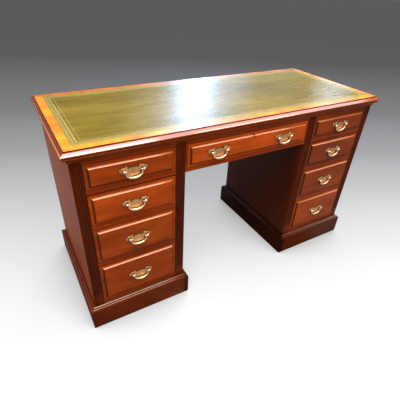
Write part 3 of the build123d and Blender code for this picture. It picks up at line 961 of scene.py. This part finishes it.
@dataclass
class DeskTop:
    """Moulded edge, crossbanding, cornice and the leather writing surface with its gilt tooling.

    The sizes of the tooling are in millimetres, and its rules and band lie inwards of the leather's edge.
    """

    ease: float = 0.5 * MM
    rules: tuple[Pair, ...] = ((17.0, 18.1), (19.7, 21.4), (32.0, 32.9))
    band_centre: float = 8.0
    stamp_pitch: float = 14.0
    leaf_length: float = 5.6
    leaf_width: float = 2.3
    leaf_lean: float = 38.0
    leaf_along: float = 4.4
    leaf_aside: float = 2.9
    berry_radius: float = 1.5
    round_sides: int = 10
    lift: float = 0.05

    def dress(self, dresser: Dresser) -> None:
        """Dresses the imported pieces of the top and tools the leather.

        Args:
            dresser: Gives the pieces their finish.
        """
        palette = dresser.palette
        mitre = Outline.of("top_edge_moulding")
        dresser.finish("top_edge_moulding", palette.moulded_edge(mitre), self.ease, moulded=True)
        cornice = palette.cornice(Outline.of("cornice_moulding"))
        dresser.finish("cornice_moulding", cornice, self.ease, moulded=True)
        banding = palette.banding(Outline.of("crossbanding"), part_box("leather_inset")[1][1])
        dresser.finish("crossbanding", banding)
        dresser.finish("top_board", palette.secondary("deal_along_x", Grain.ALONG_X), self.ease)
        dresser.finish("leather_inset", palette.leather(Outline.of("leather_inset")), self.ease)
        self.tool_leather(palette)

    def tool_leather(self, palette: Palette) -> None:
        """Lays the gilt rules and stamps round the leather's border.

        Args:
            palette: The desk's finishes.
        """
        low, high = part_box("leather_inset")
        centre = (Vector(low) + Vector(high)) / 2
        half = (Vector(high) - Vector(low)) / 2
        level = high[2] + self.lift * MM
        tooling = bmesh.new()
        for outer, inner in self.rules:
            self.add_rule(tooling, centre, half, outer * MM, inner * MM)
        for turn in range(4):
            run, across = (half.y, half.x) if turn % 2 else (half.x, half.y)
            self.add_stamps(tooling, centre, run, across, turn)
        bmesh.ops.translate(tooling, verts=tooling.verts, vec=(0.0, 0.0, level))
        piece = place_mesh("gilt_tooling", tooling, palette.gilt())
        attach(piece, "desk")
        LOG.info("tooled the leather with %d faces of gilt", len(piece.data.polygons))

    def add_rule(self, mesh: BMesh, centre: Vector, half: Vector, outer: float, inner: float) -> None:
        """Lays one ruled line as a flat frame.

        Args:
            mesh: Mesh that takes the line.
            centre: Middle of the leather.
            half: Half of the leather's sides.
            outer: Distance of the line's outer side from the leather's edge.
            inner: Distance of its inner side.
        """
        sheet = bmesh.ops.create_grid(mesh, x_segments=1, y_segments=1, size=1.0)["verts"]
        bmesh.ops.scale(mesh, verts=sheet, vec=(half.x - outer, half.y - outer, 1.0))
        bmesh.ops.translate(mesh, verts=sheet, vec=(centre.x, centre.y, 0.0))
        inside = list(sheet[0].link_faces)
        bmesh.ops.inset_region(
            mesh, faces=inside, thickness=inner - outer, use_even_offset=True, use_boundary=True,
        )
        bmesh.ops.delete(mesh, geom=inside, context="FACES")

    def add_stamps(self, mesh: BMesh, centre: Vector, run: float, across: float, turn: int) -> None:
        """Stamps a row of leaves and berries along one side of the leather.

        Args:
            mesh: Mesh that takes the row.
            centre: Middle of the leather.
            run: Half of that side's length.
            across: Distance of that side from the middle.
            turn: Quarter turns from the front side.
        """
        length = run - self.band_centre * MM
        count = max(1, round(2 * length / (self.stamp_pitch * MM)))
        pitch = 2 * length / count
        made: list[BMVert] = []
        for index in range(count):
            made += self.add_stamp(mesh, -length + index * pitch)
        bmesh.ops.translate(mesh, verts=made, vec=(0.0, self.band_centre * MM - across, 0.0))
        turned = Matrix.Rotation(turn * math.pi / 2, 3, "Z")
        bmesh.ops.rotate(mesh, verts=made, cent=(0.0, 0.0, 0.0), matrix=turned)
        bmesh.ops.translate(mesh, verts=made, vec=(centre.x, centre.y, 0.0))

    def add_stamp(self, mesh: BMesh, along: float) -> list[BMVert]:
        """Stamps one berry with two pairs of leaves.

        Args:
            mesh: Mesh that takes the stamp.
            along: Place of the berry on the row.

        Returns:
            The stamp's vertices.
        """
        made = self.add_disc(mesh, self.berry_radius * MM)
        half_leaf = (self.leaf_length * MM / 2, self.leaf_width * MM / 2, 1.0)
        for side in (-1, 1):
            for lean in (-1, 1):
                leaf = self.add_disc(mesh, 1.0)
                bmesh.ops.scale(mesh, verts=leaf, vec=half_leaf)
                turned = Matrix.Rotation(side * lean * math.radians(self.leaf_lean), 3, "Z")
                bmesh.ops.rotate(mesh, verts=leaf, cent=(0.0, 0.0, 0.0), matrix=turned)
                offset = (side * self.leaf_along * MM, lean * self.leaf_aside * MM, 0.0)
                bmesh.ops.translate(mesh, verts=leaf, vec=offset)
                made += leaf
        bmesh.ops.translate(mesh, verts=made, vec=(along, 0.0, 0.0))
        return made

    def add_disc(self, mesh: BMesh, radius: float) -> list[BMVert]:
        """Adds a flat disc and gives its vertices."""
        made = bmesh.ops.create_circle(mesh, cap_ends=True, segments=self.round_sides, radius=radius)
        return list(made["verts"])


def place_mesh(name: str, mesh: BMesh, material: Material) -> bpy.types.Object:
    """Turns a finished bmesh into an object at the origin.

    Args:
        name: Name of the piece.
        mesh: The shape, which is freed.
        material: Its finish.

    Returns:
        The object.
    """
    data = bpy.data.meshes.new(name)
    mesh.to_mesh(data)
    mesh.free()
    data.materials.append(material)
    piece = bpy.data.objects.new(name, data)
    bpy.context.scene.collection.objects.link(piece)
    return piece


@dataclass
class Frieze:
    """The section under the top that holds the three shallow drawers."""

    ease: float = 0.6 * MM

    def dress(self, dresser: Dresser) -> None:
        """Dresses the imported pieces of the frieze.

        Args:
            dresser: Gives the pieces their finish.
        """
        palette = dresser.palette
        ends = Outline.of("frieze_carcass")
        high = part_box("frieze_pilasters")[1]
        carcass = palette.polished("mahogany_frieze", Grain.ALONG_X, ends)
        dresser.finish("frieze_carcass", carcass, self.ease)
        dresser.finish("frieze_rails", palette.rails(), self.ease)
        dresser.finish("frieze_pilasters", palette.reeded(high[0]))
        dresser.finish("frieze_runners", palette.secondary("deal_along_y", Grain.ALONG_Y), self.ease)
        dresser.finish("locating_dowels", palette.lining("oak_upright", Grain.ALONG_Z), self.ease)


@dataclass
class Pedestal:
    """One pedestal: sides, boards, rails, runners and plinth."""

    side: str
    plinth_shade: float
    ease: float = 0.6 * MM
    plinth_ease: float = 0.8 * MM
    # How far past the kneehole the painted shade on the sides reaches.
    inside_reach: float = 20 * MM

    def dress(self, dresser: Dresser) -> None:
        """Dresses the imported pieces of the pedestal.

        Args:
            dresser: Gives the pieces their finish.
        """
        palette = dresser.palette
        plinth = f"{self.side}_plinth"
        mitre = Outline.of(plinth)
        sides = f"{self.side}_pedestal_sides"
        kneehole = min(abs(corner[0]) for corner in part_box(sides))
        base = palette.base_polished(f"mahogany_{plinth}", mitre, kneehole, self.plinth_shade)
        dresser.finish(plinth, base, self.plinth_ease, moulded=True)
        dresser.finish(sides, palette.sides(kneehole + self.inside_reach), self.ease)
        level = palette.polished("mahogany_along_x", Grain.ALONG_X)
        dresser.finish(f"{self.side}_pedestal_boards", level, self.ease)
        dresser.finish(f"{self.side}_drawer_rails", palette.rails(), self.ease)
        deal = palette.secondary("deal_along_y", Grain.ALONG_Y)
        dresser.finish(f"{self.side}_drawer_runners", deal, self.ease)


@dataclass
class Drawer:
    """One drawer: its front with a raised field, its oak box, its handles and, on one of them, a lock."""

    name: str
    shade: float = 1.0
    ease: float = 0.4 * MM
    box_ease: float = 0.5 * MM
    plate_ease: float = 0.45 * MM
    plate_reach: float = 4.5 * MM

    def dress(self, dresser: Dresser) -> None:
        """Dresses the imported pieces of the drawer.

        Args:
            dresser: Gives the pieces their finish.
        """
        palette = dresser.palette
        carcass_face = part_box("frieze_rails")[0][1]
        for node in sorted(dresser.nodes):
            if not node.startswith(self.name + "_"):
                continue
            if node.endswith("_drawer_front"):
                dresser.finish(node, palette.front(node, carcass_face, self.shade), self.ease)
            elif node.endswith("_drawer_box"):
                dresser.finish(node, palette.lining("oak_along_y", Grain.ALONG_Y), self.box_ease)
            elif "_handle" in node:
                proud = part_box(f"{self.name}_drawer_front")[0][1] - self.plate_reach
                dresser.finish(node, palette.toned_brass(proud), self.plate_ease)
            elif "_lock" in node:
                dresser.finish(node, palette.lock_brass())
            elif "_bail" in node:
                dresser.finish(node, palette.brass())


@dataclass
class Softbox:
    """A rectangular studio lamp."""

    name: str
    place: Triple
    target: Triple
    width: float
    height: float
    power: float
    colour: Colour

    def hang(self) -> None:
        """Puts the lamp in the scene, turned to its target."""
        lamp = bpy.data.lights.new(self.name, "AREA")
        lamp.shape = "RECTANGLE"
        lamp.size = self.width
        lamp.size_y = self.height
        lamp.energy = self.power
        lamp.color = self.colour
        holder = bpy.data.objects.new(self.name, lamp)
        holder.location = self.place
        aim = Vector(self.target) - Vector(self.place)
        holder.rotation_euler = aim.to_track_quat("-Z", "Y").to_euler()
        holder.visible_camera = False
        bpy.context.scene.collection.objects.link(holder)
        LOG.info("hung %s", self.name)


@dataclass
class Studio:
    """Floor, surrounding light, lamps and the camera, whose turns are in degrees."""

    lamps: list[Softbox]
    floor_radius: float = 30.0
    floor_sides: int = 96
    ambient: Colour = (0.3, 0.3, 0.31)
    mirrored: Colour = (0.15, 0.15, 0.155)
    horizon: Colour = tone(96, 96, 97)
    eye: Triple = (-0.79037, -1.18231, 1.21025)
    heading: float = -31.7819
    tilt: float = 55.6907
    roll: float = 3.2740
    lens: float = 30.365
    sensor: float = 36.0

    def lay_floor(self) -> None:
        """Lays a large round floor."""
        disc = bmesh.new()
        bmesh.ops.create_circle(disc, cap_ends=True, segments=self.floor_sides, radius=self.floor_radius)
        floor = place_mesh("floor", disc, FloorFinish().material())
        LOG.info("laid the floor")

    def light(self) -> None:
        """Sets the surrounding light and hangs the lamps."""
        world = bpy.data.worlds.new("studio")
        world.use_nodes = True
        nodes, links = world.node_tree.nodes, world.node_tree.links
        nodes.clear()
        path = nodes.new("ShaderNodeLightPath")

        def glow(colour: Colour) -> Socket:
            """A background of one colour."""
            made = nodes.new("ShaderNodeBackground")
            made.inputs["Color"].default_value = (*colour, 1.0)
            return made.outputs["Background"]

        def chosen(ray: str, other: Socket, own: Socket) -> Socket:
            """One background for a kind of ray and another for the rest."""
            made = nodes.new("ShaderNodeMixShader")
            for socket, value in zip(made.inputs, (path.outputs[ray], other, own)):
                links.new(value, socket)
            return made.outputs["Shader"]

        unseen = chosen("Is Glossy Ray", glow(self.ambient), glow(self.mirrored))
        seen = chosen("Is Camera Ray", unseen, glow(self.horizon))
        output = nodes.new("ShaderNodeOutputWorld")
        links.new(seen, output.inputs["Surface"])
        bpy.context.scene.world = world
        for lamp in self.lamps:
            lamp.hang()

    def aim_camera(self) -> None:
        """Puts the camera where the photograph was taken."""
        data = bpy.data.cameras.new("camera")
        data.lens = self.lens
        data.sensor_width = self.sensor
        camera = bpy.data.objects.new("camera", data)
        stand = Matrix.Translation(self.eye)
        for turn, axis in ((self.heading, "Z"), (self.tilt, "X"), (self.roll, "Z")):
            stand = stand @ Matrix.Rotation(math.radians(turn), 4, axis)
        camera.matrix_world = stand
        bpy.context.scene.collection.objects.link(camera)
        bpy.context.scene.camera = camera
        bpy.context.scene.view_settings.view_transform = "Standard"
        LOG.info("aimed the camera")

    def build(self) -> None:
        """Lays the floor, lights it and aims the camera."""
        self.lay_floor()
        self.light()
        self.aim_camera()


def studio_lamps() -> list[Softbox]:
    """The lamps: ceiling panels, a soft fill from the left, and a pale wall and windows behind the desk.

    Returns:
        The lamps.
    """
    return [
        Softbox("ceiling_near", (-0.5, -1.4, 2.75), (-0.6, -0.2, 0.45), 2.1, 1.7, 92.0, WARM),
        Softbox("ceiling_glint", (1.6, -1.2, 2.9), (1.6, -1.2, 0.0), 1.4, 1.0, 28.0, WARM),
        Softbox("ceiling_far", (3.5, -1.7, 2.9), (0.6, -0.3, 0.4), 0.9, 1.5, 15.0, WARM),
        Softbox("ceiling_over", (1.6, -0.05, 3.0), (1.6, -0.05, 0.0), 4.2, 1.8, 78.0, PEARL),
        Softbox("ceiling_left", (0.0, -0.05, 3.05), (0.0, -0.05, 0.0), 0.9, 1.7, 10.0, PEARL),
        Softbox("left", (-2.8, 0.3, 0.9), (-0.6, 0.1, 0.35), 1.6, 1.6, 27.0, WARM),
        Softbox("back_wall", (2.3, 3.2, 1.85), (0.0, 0.0, 0.775), 2.2, 1.2, 4.8, COOL),
        Softbox("window", (1.9, 3.52, 2.1), (-0.15, 0.0, 0.775), 0.42, 1.9, 41.0, SKY),
        Softbox("curtain", (2.32, 3.25, 2.05), (-0.15, 0.0, 0.775), 0.55, 1.6, 5.0, SKY),
        Softbox("transom", (1.5, 3.3, 2.55), (-0.3, -0.15, 0.775), 1.2, 0.5, 6.5, COOL),
        Softbox("far_window", (3.45, 2.15, 1.77), (0.5, -0.15, 0.775), 0.38, 0.7, 4.6, COOL),
    ]


# How light each drawer front and each plinth is painted beside its plain finish: partly its timber's own
# tone, partly painted light and shade, so that most of the right pedestal is darker and the centre frieze
# front lighter.
DRAWER_TONE_AND_LIGHT = {
    "frieze_left": 1.02, "frieze_centre": 1.5, "frieze_right": 0.78,
    "left_upper": 1.18, "left_middle": 1.04, "left_lower": 1.1,
    "right_upper": 0.66, "right_middle": 0.84, "right_lower": 1.06,
}
PLINTH_TONE_AND_LIGHT = {"left": 1.0, "right": 0.64}


def main() -> None:
    """Builds and dresses the desk."""
    logging.basicConfig(level=logging.INFO, format="%(name)s: %(message)s")
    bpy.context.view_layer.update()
    dresser = Dresser(frame["nodes"], Palette())
    DeskTop().dress(dresser)
    Frieze().dress(dresser)
    for side, shade in PLINTH_TONE_AND_LIGHT.items():
        Pedestal(side, shade).dress(dresser)
    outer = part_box("pedestal_pilasters")[1][0]
    dresser.finish("pedestal_pilasters", dresser.palette.reeded(outer))
    for name, shade in DRAWER_TONE_AND_LIGHT.items():
        Drawer(name, shade).dress(dresser)
    left_over = sorted(set(dresser.nodes) - dresser.dressed)
    LOG.info("pieces without a finish: %s", left_over or "none")
    Studio(lamps=studio_lamps()).build()


if __name__ == "__main__":
    main()
